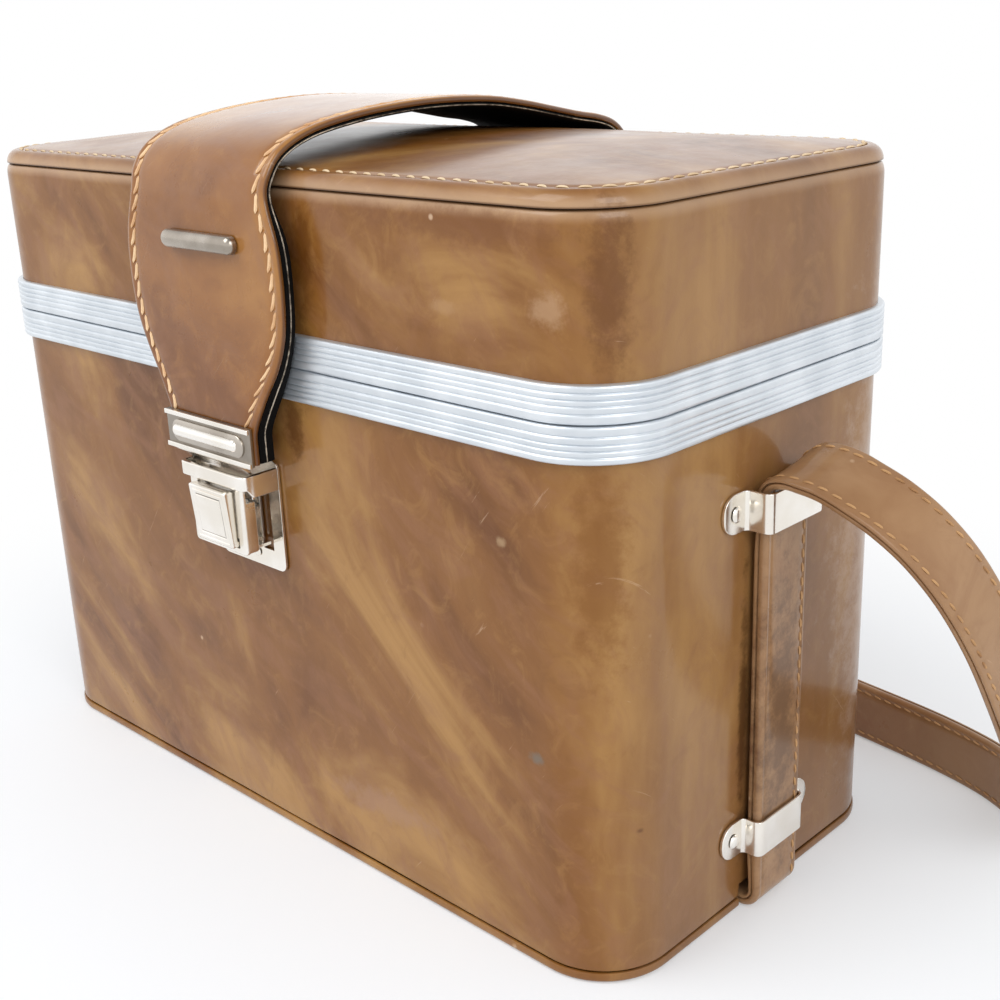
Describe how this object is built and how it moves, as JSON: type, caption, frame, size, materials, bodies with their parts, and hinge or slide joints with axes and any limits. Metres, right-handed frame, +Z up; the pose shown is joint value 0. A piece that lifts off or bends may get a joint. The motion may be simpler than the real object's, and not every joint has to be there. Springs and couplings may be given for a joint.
{
  "type": "camera hard case",
  "caption": "Covered board camera case with a hinged lid, ribbed metal seam frames, a leather carry strap closed by a press-button tuck lock, and a shoulder strap.",
  "frame": {"origin": "middle of the object's box, without the free strap loop, on the surface that it stands on", "axes": "+X to the right end, -Y to the front where the lock is, +Z up"},
  "size_m": [0.4702, 0.2299, 0.2655],
  "materials": {
    "leatherette": "satin brown leatherette, marbled light and dark, with fine scratches and rubbed places",
    "strap_leather": "satin brown leather with pale stitching along both edges",
    "strap_lining": "matt black leather backing",
    "valance_aluminium": "bright drawn aluminium with lengthwise ribs",
    "nickel_plate": "warm nickel plate, fine scratches",
    "steel": "bare steel",
    "lining_cloth": "short-pile cloth, guessed"
  },
  "bodies": {
    "case": {"body_shell": "leatherette", "bottom_panel": "leatherette", "lower_valance": "valance_aluminium", "body_lining": "lining_cloth", "divider_guide_front": "lining_cloth", "divider_guide_rear": "lining_cloth", "hinge_body_leaf_left": "nickel_plate", "hinge_body_leaf_right": "nickel_plate", "hinge_pin_left": "steel", "hinge_pin_right": "steel", "hinge_body_rivet_1": "nickel_plate", "hinge_body_rivet_2": "nickel_plate", "hinge_body_rivet_3": "nickel_plate", "hinge_body_rivet_4": "nickel_plate", "lock_back_plate": "nickel_plate", "lock_rivet_1": "nickel_plate", "lock_rivet_2": "nickel_plate", "lock_catch_frame": "nickel_plate", "lock_button_pin": "steel", "lock_spring": "steel", "strap_bracket_upper_left": "nickel_plate", "strap_bracket_upper_right": "nickel_plate", "strap_bracket_lower_left": "nickel_plate", "strap_bracket_lower_right": "nickel_plate", "bracket_rivet_left_1": "nickel_plate", "bracket_rivet_left_2": "nickel_plate", "bracket_rivet_left_3": "nickel_plate", "bracket_rivet_left_4": "nickel_plate", "bracket_rivet_right_1": "nickel_plate", "bracket_rivet_right_2": "nickel_plate", "bracket_rivet_right_3": "nickel_plate", "bracket_rivet_right_4": "nickel_plate", "shoulder_strap_run": "strap_leather", "shoulder_strap_loop": "strap_leather"},
    "lid": {"lid_shell": "leatherette", "lid_top_panel": "leatherette", "upper_valance": "valance_aluminium", "lid_lining": "lining_cloth", "hinge_lid_leaf_left": "nickel_plate", "hinge_lid_leaf_right": "nickel_plate", "hinge_lid_rivet_1": "nickel_plate", "hinge_lid_rivet_2": "nickel_plate", "hinge_lid_rivet_3": "nickel_plate", "hinge_lid_rivet_4": "nickel_plate", "carry_strap_outer": "strap_leather", "carry_strap_lining": "strap_lining", "strap_bar_front": "nickel_plate", "strap_bar_rear": "nickel_plate", "lock_tongue": "nickel_plate"},
    "button": {"lock_button": "nickel_plate"},
    "divider": {"padded_divider": "lining_cloth"}
  },
  "joints": [
    {"name": "lid_hinge", "type": "hinge", "parent": "case", "child": "lid", "pos_m": [0, 0.0874, 0.184], "axis": [-1, 0, 0], "range_deg": [0, 100]},
    {"name": "button_press", "type": "hinge", "parent": "case", "child": "button", "pos_m": [0, -0.09, 0.1211], "axis": [-1, 0, 0], "range_deg": [0, 5.5], "stiffness_Nm_per_rad": 1, "springref_deg": -2.86, "deforming": ["lock_spring"]},
    {"name": "divider_lift", "type": "slide", "parent": "case", "child": "divider", "axis": [0, 0, 1], "range_m": [0, 0.1]}
  ]
}
